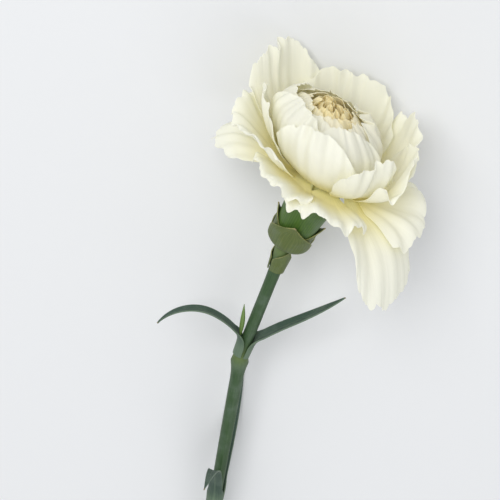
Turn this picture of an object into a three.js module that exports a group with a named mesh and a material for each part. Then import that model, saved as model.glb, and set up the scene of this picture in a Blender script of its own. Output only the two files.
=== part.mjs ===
// A cut carnation lying on a flat surface, in millimetres, +Z up.
//
// The stem runs along +Y from its cut end to the flower head. The head rests on its lowest guard
// petals and the stem on its cut end and its leaves. The stem is worked out internode by internode,
// and everything on it (leaves, bracts, calyx, petals) is placed from the stem's own line, so a
// change to one length carries everything above it along.
//
// The petals stand on nested shells around the flower's axis. A shell is a profile of radius and
// height, and each petal has a shell of its own, so no two petals can cut through each other.

import * as THREE from "three";

// ---- Driving dimensions: the stem -------------------------------------------------------------
const STEM_RADIUS = 2.5;
const THIN_SHARE = 0.94; // how much thinner each stretch starts than it ends
const NODE_RADIUS = 3.7; // the swelling at each leaf joint
const STEM_SIDES = 14;
const INTERNODES = [
  // length, then the direction: degrees from +Y towards +X, and degrees up from the surface
  { length: 60, heading: -6, climb: 4 },
  { length: 74, heading: -3, climb: 4.5 },
  { length: 72, heading: 1, climb: 5 },
  { length: 54, heading: 11, climb: 7.5 },
];
const HEAD_HEADING = 18;
const HEAD_CLIMB = 10;
const PETAL_LEAN = Math.tan(THREE.MathUtils.degToRad(20)); // how far the petals straighten up again
const LEAN_START = 4; // how far above the mouth they begin to

// ---- Driving dimensions: the calyx and its bracts ---------------------------------------------
const CALYX_LENGTH = 28; // from its rounded base to the mouth that the petals come out of
const CALYX_BASE_RADIUS = 7.2;
const CALYX_MOUTH_RADIUS = 10.1;
const CALYX_WALL = 0.8;
const CALYX_TEETH = 5;
const TOOTH_DEPTH = 4.6;
const TOOTH_TOP = 1.3; // how far below the mouth the teeth end, where the petals bend out over them
const NECK_RADIUS = 3.5; // the thickened top of the stem that carries the flower
const STEM_REACH = 3.1; // how far the stem goes up inside the calyx
const DISC_THICKNESS = 1.1; // the disc at the stem's top that the petals grow on
const BRACT_THICKNESS = 0.5;
const BRACT_TIP = 0.14; // how wide a bract still is at its tip, as a share
const BRACT_CORNER = 0.3; // how much shorter it is at its sides

// ---- Driving dimensions: the petals -----------------------------------------------------------
const PETALS = 42;
const GOLDEN_ANGLE = Math.PI * (3 - Math.sqrt(5));
const OUTERMOST_AT = THREE.MathUtils.degToRad(25); // where the last petal points, from +X to up
const PETAL_THICKNESS = 0.2; // at the foot
const EDGE_THINNING = 0.35; // how much thinner a petal is at its edge, as a share
const CLAW_HALF_ANGLE = THREE.MathUtils.degToRad(14);
const MOUTH_HALF_ANGLE = THREE.MathUtils.degToRad(15.5);
const WIDEST_HALF_ANGLE = THREE.MathUtils.degToRad(65); // under half the golden angle
const INNERMOST_CLAW = { foot: 2.4, mouth: 1.7 }; // radius at the disc and at the calyx mouth
const CLAW_SPACING = 0.87; // the power that spreads the claws from the innermost to the wall
const CLAW_SHARE = 0.2; // the part of a petal's length parameter that lies inside the calyx
const FAN_START = 0.6; // how wide the blade is where it leaves the claw, as a share of its full width
const CORNER = { heart: 0.28, open: 0.18, power: 2.4 }; // how much shorter a petal is at its sides
const SHORTENING = 2; // the power that keeps a short petal's lower part like the others'
const PETAL_STEPS = 8;
const HEART_COLUMNS = 8;
const PETAL_COLUMNS = 8;
const SHELLS = [
  // how open the shell is, its petals' width, and (radius, height above the calyx mouth) at even
  // stations beyond the mouth, the last at the petal's edge
  { open: 0, width: 10, at: [[2.6, 7], [3.2, 15], [3.2, 24], [1.5, 33]] },
  { open: 0.5, width: 38, at: [[13, 6.5], [19.5, 13.5], [20, 24], [10, 31]] },
  { open: 0.75, width: 43, at: [[18, 5.5], [28, 13], [34, 23.5], [37, 35]] },
  { open: 1, width: 44, at: [[18.5, 1.5], [29, -0.5], [38.5, -4.5], [46, -11]] },
];
const OUTER_PETALS = [
  // from the outermost in: how open, degrees that the blade turns aside from the spiral, and its
  // shares of the shell's width and length
  { open: 0.99, turn: 3, width: 1.0, length: 1.0 },
  { open: 0.775, turn: 2, width: 1.0, length: 0.92 },
  { open: 0.94, turn: 0, width: 1.0, length: 0.95 },
  { open: 0.876, turn: 8, width: 0.85, length: 0.8 },
  { open: 0.965, turn: -10, width: 1.0, length: 0.93 },
  { open: 0.898, turn: 6, width: 0.95, length: 0.97 },
  { open: 0.838, turn: -2, width: 0.7, length: 0.8 },
  { open: 0.8, turn: -5, width: 1.0, length: 0.93 },
  { open: 0.65, turn: 4, width: 0.75, length: 0.93 },
  { open: 0.622, turn: -9, width: 0.7, length: 0.9 },
  { open: 0.757, turn: 11, width: 0.95, length: 1.0 },
  { open: 0.594, turn: 4, width: 1.0, length: 0.95 },
  { open: 0.735, turn: -7, width: 0.9, length: 1.0 },
  { open: 0.71, turn: 0, width: 0.85, length: 0.95 },
  { open: 0.555, turn: -8, width: 1.0, length: 1.0 },
  { open: 0.69, turn: -3, width: 1.0, length: 0.97 },
];
const INNER_OPENING = 0.53; // how open the last of the other petals is
const PRESSED = 0.03; // how much more closed the petals are on the side that the flower lies on
const BALL_SHUT = 0.06; // how much more closed the middle is on its upper side
const FLARE = 0.03; // how much the open petals' edges turn out
const SWAYS = [
  // slow waves round the open petals: how many to a turn, how deep as a change of openness, and
  // how far they turn from the heart to the outside, in radians
  { count: 3, depth: 0.028, turn: 7 },
  { count: 5, depth: 0.024, turn: -9 },
];
const FOLDS = { count: 5, depth: 0.014, turn: 6 }; // the same for the heart of the flower
const WIDTH_VARIES = 0.07; // how much the inner petals' widths differ, as a share
const LENGTH_VARIES = 0.05;

// ---- Driving dimensions: the leaves -----------------------------------------------------------
const LEAF_THICKNESS = 0.7;
const SHEATH_LENGTH = 5; // how far a leaf's base clasps the stem before the blade leaves it
const SHEATH_HALF_ANGLE = THREE.MathUtils.degToRad(80);
const LEAVES = [
  // the joint it grows from (0 is the lowest), its side of the stem in degrees from +X to up, its
  // size, and the blade's angle from the stem where it leaves, half way and at the tip
  { joint: 0, side: 196, length: 84, width: 6.2, angles: [24, 40, 56] },
  { joint: 0, side: 16, length: 78, width: 6.0, angles: [30, 52, 40] },
  { joint: 1, side: 100, length: 62, width: 5.6, angles: [20, 44, 96] },
  { joint: 1, side: 280, length: 58, width: 5.6, angles: [16, 24, 12] },
  { joint: 2, side: 352, length: 46, width: 6.2, angles: [36, 48, 40] },
  { joint: 2, side: 172, length: 46, width: 5.6, angles: [34, 76, 160] },
];

const SHOOT = [
  // the shoot's radius, how far its middle is from the stem, and its height above the joint
  [0.3, 0.35, 8.8],
  [0.6, 0.65, 10.2],
  [0.9, 1.1, 12.5],
  [0.95, 1.7, 15.5],
  [0.7, 2.4, 18.5],
  [0.2, 3.4, 22.5],
];

const CLEARANCE = 0.3; // between any two pieces that meet
const SURFACE_GIVE = 1.2; // how gently a petal or leaf bends where it meets the surface
const STACKING = 0.3; // how much higher each petal lies than the next one out, where they are pressed

// ---- Small helpers ----------------------------------------------------------------------------
const { degToRad, lerp, smoothstep, clamp } = THREE.MathUtils;

// A repeatable scatter from -1 to 1 for the piece numbered i.
const scatter = (i, salt) => {
  const x = Math.sin(i * 12.9898 + salt * 78.233) * 43758.5453;
  return 2 * (x - Math.floor(x)) - 1;
};

// The value at t, from 0 to 1, along evenly spaced values.
const along = (values, t) => {
  const x = clamp(t, 0, 1) * (values.length - 1);
  const i = Math.min(Math.floor(x), values.length - 2);
  return lerp(values[i], values[i + 1], x - i);
};

// Bends what would go lower than the floor so that it lies along it instead.
const restOnSurface = (p, floor = 0) => {
  p.z = floor + SURFACE_GIVE * Math.log(1 + Math.exp((p.z - floor) / SURFACE_GIVE));
  return p;
};

const heading = (degreesRight, degreesUp) => {
  const [right, up] = [degToRad(degreesRight), degToRad(degreesUp)];
  return new THREE.Vector3(
    Math.sin(right) * Math.cos(up),
    Math.cos(right) * Math.cos(up),
    Math.sin(up),
  );
};

// A frame that looks along a direction: right lies level, and up completes it.
const frameAlong = (origin, direction) => {
  const ahead = direction.clone().normalize();
  const right = new THREE.Vector3().crossVectors(ahead, new THREE.Vector3(0, 0, 1)).normalize();
  const up = new THREE.Vector3().crossVectors(right, ahead);
  // the point at a radius and an angle from right to up, and a distance ahead
  const place = (radius, angle, distance) =>
    origin
      .clone()
      .addScaledVector(right, radius * Math.cos(angle))
      .addScaledVector(up, radius * Math.sin(angle))
      .addScaledVector(ahead, distance);
  return { origin, ahead, right, up, place };
};

// ---- Solids from points -----------------------------------------------------------------------
const geometryFrom = (points, triangles) => {
  let volume = 0;
  for (const [a, b, c] of triangles) {
    volume += points[a].dot(new THREE.Vector3().crossVectors(points[b], points[c]));
  }
  const outward = volume > 0 ? triangles : triangles.map(([a, b, c]) => [a, c, b]);
  const geometry = new THREE.BufferGeometry().setFromPoints(points);
  geometry.setIndex(outward.flat());
  geometry.computeVertexNormals();
  return geometry;
};

// A solid through rings of points: capped at both ends, or joined end to end as a tube's wall is.
const loft = (rings, endToEnd = false) => {
  const sides = rings[0].length;
  const points = rings.flat();
  const triangles = [];
  const last = endToEnd ? rings.length : rings.length - 1;
  for (let i = 0; i < last; i++) {
    const [here, next] = [i * sides, ((i + 1) % rings.length) * sides];
    for (let j = 0; j < sides; j++) {
      const k = (j + 1) % sides;
      triangles.push([here + j, here + k, next + k], [here + j, next + k, next + j]);
    }
  }
  if (!endToEnd) {
    const foot = points.push(centreOf(rings[0])) - 1;
    const top = points.push(centreOf(rings.at(-1))) - 1;
    const start = (rings.length - 1) * sides;
    for (let j = 0; j < sides; j++) {
      const k = (j + 1) % sides;
      triangles.push([foot, k, j], [top, start + j, start + k]);
    }
  }
  return geometryFrom(points, triangles);
};

const centreOf = (ring) =>
  ring.reduce((sum, p) => sum.add(p), new THREE.Vector3()).divideScalar(ring.length);

// A thin solid on both sides of a sheet. at(t, v) is a point of the sheet, with t from foot to tip
// and v from -1 to 1 across; thickness(t, v) is its thickness there.
const sheetSolid = (at, steps, columns, thickness) => {
  const [front, back] = [[], []];
  const small = 1e-3;
  for (let i = 0; i <= steps; i++) {
    for (let j = 0; j <= columns; j++) {
      const [t, v] = [i / steps, (2 * j) / columns - 1];
      const p = at(t, v);
      const alongSheet = at(Math.min(1, t + small), v).sub(at(Math.max(0, t - small), v));
      const acrossSheet = at(t, Math.min(1, v + small)).sub(at(t, Math.max(-1, v - small)));
      const normal = alongSheet.cross(acrossSheet).normalize();
      const half = thickness(t, v) / 2;
      front.push(p.clone().addScaledVector(normal, half));
      back.push(p.clone().addScaledVector(normal, -half));
    }
  }
  const row = columns + 1;
  const behind = front.length;
  const triangles = [];
  for (let i = 0; i < steps; i++) {
    for (let j = 0; j < columns; j++) {
      const [a, b, c, d] = [i * row + j, i * row + j + 1, (i + 1) * row + j + 1, (i + 1) * row + j];
      triangles.push([a, b, c], [a, c, d]);
      triangles.push([behind + a, behind + c, behind + b], [behind + a, behind + d, behind + c]);
    }
  }
  const rim = [];
  for (let j = 0; j < columns; j++) rim.push(j);
  for (let i = 0; i < steps; i++) rim.push(i * row + columns);
  for (let j = columns; j > 0; j--) rim.push(steps * row + j);
  for (let i = steps; i > 0; i--) rim.push(i * row);
  rim.forEach((a, k) => {
    const b = rim[(k + 1) % rim.length];
    triangles.push([a, behind + b, b], [a, behind + a, behind + b]);
  });
  return geometryFrom([...front, ...back], triangles);
};

// ---- Materials --------------------------------------------------------------------------------
const finish = (color, roughness) =>
  new THREE.MeshStandardMaterial({ color, roughness, metalness: 0 });
const creamPetal = finish(0xf4f0dc, 0.6);
const heartPetal = finish(0xf1e3a4, 0.6);
const stemGreen = finish(0x2f4a26, 0.55);
const calyxGreen = finish(0x4a6b22, 0.5);
const bractOlive = finish(0x5d6b2c, 0.55);
const leafGreen = finish(0x2c4433, 0.6);

const flower = new THREE.Group();
const add = (name, geometry, material) => {
  const mesh = new THREE.Mesh(geometry, material);
  mesh.name = name;
  flower.add(mesh);
};

// ---- The stem's line --------------------------------------------------------------------------
const cutEnd = new THREE.Vector3(0, 0, STEM_RADIUS);
const joints = [cutEnd];
for (const { length, heading: right, climb } of INTERNODES) {
  joints.push(joints.at(-1).clone().addScaledVector(heading(right, climb), length));
}
const calyxFoot = joints.at(-1);
const headDirection = heading(HEAD_HEADING, HEAD_CLIMB);
const mouth = calyxFoot.clone().addScaledVector(headDirection, CALYX_LENGTH);
const head = frameAlong(mouth, headDirection);

// Joints 1 to 3 carry leaves, and the last one is the calyx's foot.
const LEAF_JOINTS = joints.slice(1, -1);

// The stem's direction a little above a joint, which the leaves there take.
const directionAbove = (joint) => joints[joint + 2].clone().sub(joints[joint + 1]).normalize();

function makeStem() {
  const stations = [];
  const addStation = (from, direction, distance, radius) =>
    stations.push({ p: from.clone().addScaledVector(direction, distance), radius });
  const thin = STEM_RADIUS * THIN_SHARE;
  addStation(cutEnd, directionAbove(-1), 0, STEM_RADIUS);
  LEAF_JOINTS.forEach((p, n) => {
    const below = p.clone().sub(joints[n]).normalize();
    const above = directionAbove(n);
    addStation(p, below, -30, STEM_RADIUS);
    addStation(p, below, -9, STEM_RADIUS);
    addStation(p, below, -4, lerp(STEM_RADIUS, NODE_RADIUS, 0.55));
    addStation(p, below, -1.2, NODE_RADIUS);
    addStation(p, above, 0, thin);
    addStation(p, above, 9, thin);
  });
  const peduncle = directionAbove(LEAF_JOINTS.length - 1);
  addStation(calyxFoot, peduncle, -20, thin);
  addStation(calyxFoot, peduncle, -13, STEM_RADIUS);
  addStation(calyxFoot, peduncle, -7, lerp(STEM_RADIUS, NECK_RADIUS, 0.6));
  addStation(calyxFoot, peduncle, -3, NECK_RADIUS);
  addStation(calyxFoot, peduncle, 0, NECK_RADIUS * 0.97);
  addStation(calyxFoot, headDirection, STEM_REACH, NECK_RADIUS * 0.85);
  const rings = stations.map(({ p, radius }, i) => {
    const before = stations[Math.max(0, i - 1)].p;
    const after = stations[Math.min(stations.length - 1, i + 1)].p;
    const frame = frameAlong(p, after.clone().sub(before));
    return Array.from({ length: STEM_SIDES }, (_, j) =>
      frame.place(radius, (2 * Math.PI * j) / STEM_SIDES - Math.PI / 2, 0));
  });
  add("stem", loft(rings), stemGreen);
}

// ---- The calyx --------------------------------------------------------------------------------
// Its outside, as radius and height above the mouth, from the foot to the rim.
const CALYX_OUTSIDE = [
  [NECK_RADIUS + CLEARANCE + CALYX_WALL, -CALYX_LENGTH + 0.4],
  [CALYX_BASE_RADIUS - 0.7, -CALYX_LENGTH + 1.6],
  [CALYX_BASE_RADIUS, -CALYX_LENGTH + 5],
  [lerp(CALYX_BASE_RADIUS, CALYX_MOUTH_RADIUS, 0.4), -CALYX_LENGTH * 0.5],
  [lerp(CALYX_BASE_RADIUS, CALYX_MOUTH_RADIUS, 0.75), -CALYX_LENGTH * 0.24],
];

const toothAt = (angle) => {
  const x = ((angle * CALYX_TEETH) / (2 * Math.PI)) % 1;
  return 1 - Math.abs(2 * x - 1) ** 1.3;
};

function makeCalyx() {
  const columns = CALYX_TEETH * 6;
  const ring = (radius, height) =>
    Array.from({ length: columns }, (_, j) => {
      const angle = (2 * Math.PI * j) / columns;
      return head.place(radius(angle), angle, height(angle));
    });
  const rim = (angle) => -TOOTH_TOP - TOOTH_DEPTH * (1 - toothAt(angle));
  const rimRadius = (angle) =>
    lerp(CALYX_MOUTH_RADIUS - 0.7, CALYX_MOUTH_RADIUS + 0.1, toothAt(angle));
  const outside = CALYX_OUTSIDE.map(([r, h]) => ring(() => r, () => h));
  const inside = CALYX_OUTSIDE.map(([r, h], i) =>
    ring(() => r - CALYX_WALL, () => (i < 2 ? h + CALYX_WALL * 0.9 : h)));
  outside.push(ring(rimRadius, rim));
  inside.push(ring((a) => rimRadius(a) - CALYX_WALL * 0.6, (a) => rim(a) - 0.1));
  add("calyx", loft([...outside, ...inside.reverse()], true), calyxGreen);
}

// The disc that the petals grow on, with the ovary and its two styles drawn as one rounded spire.
function makeOvary() {
  const foot = -CALYX_LENGTH + STEM_REACH + CLEARANCE;
  const disc = CALYX_BASE_RADIUS - CALYX_WALL - CLEARANCE;
  const profile = [
    [0, foot],
    [disc - 0.5, foot],
    [disc - 0.2, foot + DISC_THICKNESS * 0.4],
    [disc - 0.5, foot + DISC_THICKNESS * 0.7],
    [1.7, foot + DISC_THICKNESS],
    [1.7, foot * 0.75],
    [1.4, foot * 0.55],
    [0.7, foot * 0.35],
    [0.4, -1],
    [0, 0],
  ].map(([r, h]) => new THREE.Vector2(r, h));
  const geometry = new THREE.LatheGeometry(profile, 12);
  const turn = new THREE.Quaternion().setFromUnitVectors(new THREE.Vector3(0, 1, 0), head.ahead);
  const mesh = new THREE.Mesh(geometry, calyxGreen);
  mesh.name = "ovary";
  mesh.quaternion.copy(turn);
  mesh.position.copy(mouth);
  flower.add(mesh);
}

// ---- Bracts -----------------------------------------------------------------------------------
const outlineOf = (stations) => new THREE.SplineCurve(stations.map(([r, h]) => new THREE.Vector2(r, h)));

// A pointed scale that clasps the flower's foot, following an outline of radius and height.
function makeBract(name, frame, outline, side, halfAngle) {
  const at = (t, v) => {
    const narrowing = lerp(1, BRACT_TIP, smoothstep(t, 0.45, 1) ** 1.4);
    const reach = t * (1 - BRACT_CORNER * Math.abs(v) ** 1.5 * t * narrowing);
    const { x: radius, y: height } = outline.getPoint(reach);
    return frame.place(radius, side + v * halfAngle * narrowing, height);
  };
  const thickness = (t) => BRACT_THICKNESS * (1 - 0.4 * t);
  add(name, sheetSolid(at, 6, 6, thickness), bractOlive);
}

// Two crossed pairs under the calyx, the second pair outside the first.
function makeEpicalyx() {
  const layerStep = BRACT_THICKNESS + 2.5 * CLEARANCE;
  for (let n = 0; n < 4; n++) {
    const layer = n < 2 ? 0 : 1;
    const off = CLEARANCE + BRACT_THICKNESS / 2 + 0.15 + layer * layerStep;
    const outline = outlineOf([
      [NECK_RADIUS + CLEARANCE + 1, -CALYX_LENGTH - 0.1 - off],
      [CALYX_BASE_RADIUS - 0.3 + 0.6 * off, -CALYX_LENGTH + 1.9 - 0.7 * off],
      [CALYX_BASE_RADIUS + off, -CALYX_LENGTH + 5.5],
      [CALYX_BASE_RADIUS + off + 0.5, -CALYX_LENGTH + 9],
      [CALYX_BASE_RADIUS + off + 1.5 + 0.4 * layer, -CALYX_LENGTH + 12.5],
    ]);
    const side = degToRad(10 + 90 * layer + 180 * (n % 2));
    makeBract(`epicalyx_bract_${n + 1}`, head, outline, side, degToRad(74));
  }
}

function makeLowerBracts() {
  const frame = frameAlong(calyxFoot, directionAbove(LEAF_JOINTS.length - 1));
  const off = CLEARANCE + BRACT_THICKNESS / 2;
  const outline = outlineOf([
    [STEM_RADIUS + off + 0.1, -13.2],
    [lerp(STEM_RADIUS, NECK_RADIUS, 0.45) + off, -9.5],
    [lerp(STEM_RADIUS, NECK_RADIUS, 0.85) + off, -6],
    [NECK_RADIUS + off + 0.15, -2.4],
  ]);
  for (let n = 0; n < 2; n++) {
    makeBract(`lower_bract_${n + 1}`, frame, outline, degToRad(60 + 180 * n), degToRad(80));
  }
}

// ---- Leaves -----------------------------------------------------------------------------------
// A leaf clasps the stem with its sheath and then swings out, channelled along its midrib.
function makeLeaf(name, { joint, side, length, width, angles }) {
  const frame = frameAlong(LEAF_JOINTS[joint], directionAbove(joint));
  const out = frame.place(1, degToRad(side), 0).sub(frame.origin);
  const across = new THREE.Vector3().crossVectors(frame.ahead, out);
  const claspRadius = STEM_RADIUS * THIN_SHARE + CLEARANCE + LEAF_THICKNESS / 2 + 0.1;
  const sheathShare = SHEATH_LENGTH / length;
  const angleAt = (s) =>
    degToRad(lerp(3, along(angles, s), smoothstep(s, sheathShare, sheathShare + 0.12)));
  // the midrib, found by walking along the leaf
  const walk = 60;
  const midrib = [frame.origin.clone().addScaledVector(out, claspRadius).addScaledVector(frame.ahead, 0.3)];
  for (let k = 0; k < walk; k++) {
    const a = angleAt((k + 0.5) / walk);
    midrib.push(midrib[k].clone()
      .addScaledVector(frame.ahead, (Math.cos(a) * length) / walk)
      .addScaledVector(out, (Math.sin(a) * length) / walk));
  }
  const rib = new THREE.CatmullRomCurve3(midrib);
  const at = (t, v) => {
    const a = angleAt(t);
    const clasp = 1 - smoothstep(t, sheathShare * 0.8, sheathShare + 0.16);
    const taper = (1 - t ** 3.2) ** 0.9 * 0.94 + 0.06;
    const half = lerp((width / 2) * taper, claspRadius * SHEATH_HALF_ANGLE, clasp);
    const bend = lerp(0.9 / width, 1 / claspRadius, clasp);
    const inward = out.clone().multiplyScalar(-Math.cos(a)).addScaledVector(frame.ahead, Math.sin(a));
    return restOnSurface(rib.getPoint(t)
      .addScaledVector(across, Math.sin(v * half * bend) / bend)
      .addScaledVector(inward, (1 - Math.cos(v * half * bend)) / bend));
  };
  const thickness = (t, v) => LEAF_THICKNESS * (1 - 0.45 * Math.abs(v)) * (1 - 0.3 * t);
  add(name, sheetSolid(at, 16, 4, thickness), leafGreen);
}

// The small shoot that stands between the top leaf and the stem.
function makeAxillaryShoot() {
  const joint = LEAF_JOINTS.length - 1;
  const frame = frameAlong(LEAF_JOINTS[joint], directionAbove(joint));
  const side = degToRad(LEAVES.at(-1).side);
  const rings = SHOOT.map(([radius, out, height]) => {
    const own = frameAlong(frame.place(STEM_RADIUS + CLEARANCE + out, side, height), frame.ahead);
    return Array.from({ length: 8 }, (_, j) => own.place(radius, (2 * Math.PI * j) / 8, 0));
  });
  add("axillary_shoot", loft(rings), calyxGreen);
}

// ---- Petals -----------------------------------------------------------------------------------
const CLAW_FOOT = -CALYX_LENGTH + STEM_REACH + DISC_THICKNESS + 2 * CLEARANCE;
const OUTERMOST_CLAW = {
  foot: CALYX_BASE_RADIUS - CALYX_WALL - CLEARANCE - 0.1,
  mouth: CALYX_MOUTH_RADIUS - CALYX_WALL - CLEARANCE - 0.2,
};

// The radius and height of a point on the shell that is open so far, at t from foot to edge.
const shellPoint = (open, t) => {
  const n = clamp(SHELLS.findIndex((s) => s.open >= open) - 1, 0, SHELLS.length - 2);
  const [inner, outer] = open > 1 ? SHELLS.slice(-2) : [SHELLS[n], SHELLS[n + 1]];
  const share = (open - inner.open) / (outer.open - inner.open);
  const out = Math.max(open, 0) ** CLAW_SPACING;
  const stations = [
    [lerp(INNERMOST_CLAW.foot, OUTERMOST_CLAW.foot, out), CLAW_FOOT],
    [lerp(INNERMOST_CLAW.mouth, OUTERMOST_CLAW.mouth, out), 1.2 * out],
    ...inner.at.map((p, k) => [lerp(p[0], outer.at[k][0], share), lerp(p[1], outer.at[k][1], share)]),
  ];
  const profile = new THREE.SplineCurve(stations.map(([r, h]) => new THREE.Vector2(r, h)));
  return { ...profile.getPoint(t), width: lerp(inner.width, outer.width, share) };
};

// How far a shell belongs to the closed ball and then to the loose petals, each from 0 to 1.
const ballShare = (open) => smoothstep(open, 0.1, 0.5);
const looseShare = (open) => smoothstep(open, 0.5, 0.78);

// How much more open the flower is in one direction: the same for every petal, so that they move
// together and stay apart.
const opening = (open, angle, blade) => {
  const wave = ({ count, depth, turn }) => depth * Math.sin(count * angle + turn * open);
  const loose = looseShare(open);
  const tight = wave(FOLDS) - BALL_SHUT * ballShare(open) * Math.sin(angle);
  const sway = SWAYS.reduce((sum, each) => sum + wave(each), 0);
  const slow = lerp(tight, sway, loose) + PRESSED * Math.sin(angle);
  return smoothstep(blade, 0.05, 1) * slow + FLARE * loose * blade ** 5;
};

const petalNumbers = (i) => {
  const fromOutside = PETALS - 1 - i;
  if (fromOutside < OUTER_PETALS.length) return OUTER_PETALS[fromOutside];
  return {
    open: (INNER_OPENING * i) / (PETALS - OUTER_PETALS.length - 1),
    turn: 0,
    width: 1 + WIDTH_VARIES * scatter(i, 2),
    length: 1 - LENGTH_VARIES * Math.abs(scatter(i, 1)),
  };
};

function makePetal(i) {
  const { open, turn, width, length } = petalNumbers(i);
  const foot = OUTERMOST_AT + (PETALS - 1 - i) * GOLDEN_ANGLE;
  const floor = (PETALS - 1 - i) * STACKING;
  const corner = lerp(CORNER.heart, CORNER.open, looseShare(open));
  const at = (t, v) => {
    const blade = clamp((t - CLAW_SHARE) / (1 - CLAW_SHARE), 0, 1);
    const shorter = 1 - length + corner * Math.abs(v) ** CORNER.power;
    const reach = t - blade ** SHORTENING * shorter;
    const own = shellPoint(open, reach);
    const claw = lerp(CLAW_HALF_ANGLE, MOUTH_HALF_ANGLE, clamp(t / CLAW_SHARE, 0, 1));
    const fan = (own.width / 2) * width * lerp(FAN_START, 1, smoothstep(blade, 0.1, 0.85));
    const spread = Math.min(fan / Math.max(own.x, 1), WIDEST_HALF_ANGLE);
    const middle = foot + degToRad(turn) * smoothstep(blade, 0, 0.4);
    const angle = middle + v * lerp(claw, spread, smoothstep(blade, 0.05, 0.42));
    const { x: radius, y: height } = shellPoint(open + opening(open, angle, blade), reach);
    const p = head.place(radius, angle, height);
    const above = Math.max(height, 0);
    p.addScaledVector(head.right, (-PETAL_LEAN * above ** 2) / (above + LEAN_START));
    return restOnSurface(p, floor);
  };
  const [material, columns] = open < 0.4 ? [heartPetal, HEART_COLUMNS] : [creamPetal, PETAL_COLUMNS];
  const name = `petal_${String(i + 1).padStart(2, "0")}`;
  const thickness = (t) => PETAL_THICKNESS * (1 - EDGE_THINNING * t);
  add(name, sheetSolid(at, PETAL_STEPS, columns, thickness), material);
}

// ---- Assembly ---------------------------------------------------------------------------------
makeStem();
makeCalyx();
makeOvary();
makeEpicalyx();
makeLowerBracts();
LEAVES.forEach((leaf, n) => makeLeaf(`leaf_${leaf.joint + 1}${"ab"[n % 2]}`, leaf));
makeAxillaryShoot();
for (let i = 0; i < PETALS; i++) makePetal(i);

// The origin is the middle of the flower's footprint, on the surface it lies on.
flower.updateMatrixWorld(true);
const box = new THREE.Box3().setFromObject(flower, true);
flower.position.set(-(box.min.x + box.max.x) / 2, -(box.min.y + box.max.y) / 2, -box.min.z);

export default flower;
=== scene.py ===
# %% [markdown]
# # A cut carnation
# A carnation is a tube of sepals, the calyx, packed with thin petals. Each petal has a narrow claw
# inside the tube and a wide, ruffled blade outside it. Below the calyx come small clasping bracts,
# then a smooth stem with swollen joints and long, stiff, channelled leaves.
#
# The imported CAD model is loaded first, as the frame that everything is fitted to. Every fine piece
# below takes its place from it and stands in for one of its solids.

# %% Load the frame
import math

import bmesh
import bpy
import numpy as np
from mathutils import Matrix, Vector


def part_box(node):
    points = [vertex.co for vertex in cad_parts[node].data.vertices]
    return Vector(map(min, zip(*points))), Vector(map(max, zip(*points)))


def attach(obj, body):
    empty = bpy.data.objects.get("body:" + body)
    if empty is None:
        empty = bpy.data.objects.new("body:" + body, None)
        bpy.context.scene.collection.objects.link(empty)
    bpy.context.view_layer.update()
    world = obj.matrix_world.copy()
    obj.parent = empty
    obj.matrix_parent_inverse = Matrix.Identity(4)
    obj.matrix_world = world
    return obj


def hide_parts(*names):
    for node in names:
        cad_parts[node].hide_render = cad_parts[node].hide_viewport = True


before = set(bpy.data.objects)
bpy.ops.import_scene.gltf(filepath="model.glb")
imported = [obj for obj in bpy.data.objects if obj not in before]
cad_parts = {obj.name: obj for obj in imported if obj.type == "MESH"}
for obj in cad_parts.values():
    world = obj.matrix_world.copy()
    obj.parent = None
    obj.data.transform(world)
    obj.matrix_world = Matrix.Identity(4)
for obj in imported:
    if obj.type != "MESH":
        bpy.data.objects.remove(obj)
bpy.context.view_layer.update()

MM = 0.001


def in_mm(corners):
    """Corners of a box, in millimetres, for printing."""
    return [[round(x / MM, 1) for x in corner] for corner in corners]


# %% [markdown]
# ## The axes of the flower
# The petals, the calyx and its bracts are all placed round one axis. The ovary is turned on a lathe
# in the CAD model, with its tip at the calyx mouth, so its tip and its centroid give that axis
# exactly. A head frame is then three directions: ahead along the axis, right (level) and up.

# %% The head frame, from the ovary
SAME_POINT_DIGITS = 7


def cad_points(node):
    """The corners of a CAD node, each once, in metres."""
    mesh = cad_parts[node].data
    points = np.empty(len(mesh.vertices) * 3)
    mesh.vertices.foreach_get("co", points)
    return np.unique(points.reshape(-1, 3).round(SAME_POINT_DIGITS), axis=0)


class Axes:
    """A place and three directions: right lies level, and up completes it."""

    def __init__(self, origin, ahead):
        self.origin = np.array(origin, float)
        self.ahead = np.array(ahead, float) / np.linalg.norm(ahead)
        self.right = np.cross(self.ahead, (0, 0, 1))
        self.right /= np.linalg.norm(self.right)
        self.up = np.cross(self.right, self.ahead)

    def place(self, radius, angle, distance):
        """Points at a radius and an angle from right to up, and a distance ahead."""
        radius, angle, distance = np.broadcast_arrays(radius, angle, distance)
        return (
            self.origin
            + (radius * np.cos(angle))[..., None] * self.right
            + (radius * np.sin(angle))[..., None] * self.up
            + distance[..., None] * self.ahead
        )


ovary = cad_points("ovary")
ovary_tip = ovary[np.argmax(np.linalg.norm(ovary - ovary.mean(axis=0), axis=1))]
head = Axes(ovary_tip, ovary_tip - ovary.mean(axis=0))
print("calyx mouth, mm:", (head.origin / MM).round(1), " axis:", head.ahead.round(3))

# %% [markdown]
# ## Camera
# The camera looks down on the lying flower from above its head, with the head at the top of the
# picture and the stem running out at the bottom. It is a long lens, as for a product picture.

# %% Camera
CAMERA_HEIGHT_ANGLE = math.radians(67)
CAMERA_ROLL = math.radians(-8)
CAMERA_DISTANCE = 0.9
FIELD_WIDTH = 0.186
SENSOR_WIDTH = 36
FROM_CALYX_TO_MIDDLE = Vector((-0.022, -0.030, 0))
LOOK_AT = Vector(head.origin) + FROM_CALYX_TO_MIDDLE


def look(obj, place, target, picture_up):
    """Stands an object at a place, looking at a target with a direction kept upright."""
    back = (place - target).normalized()
    side = picture_up.cross(back).normalized()
    up = back.cross(side)
    obj.matrix_world = Matrix.Translation(place) @ Matrix((side, up, back)).transposed().to_4x4()


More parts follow.
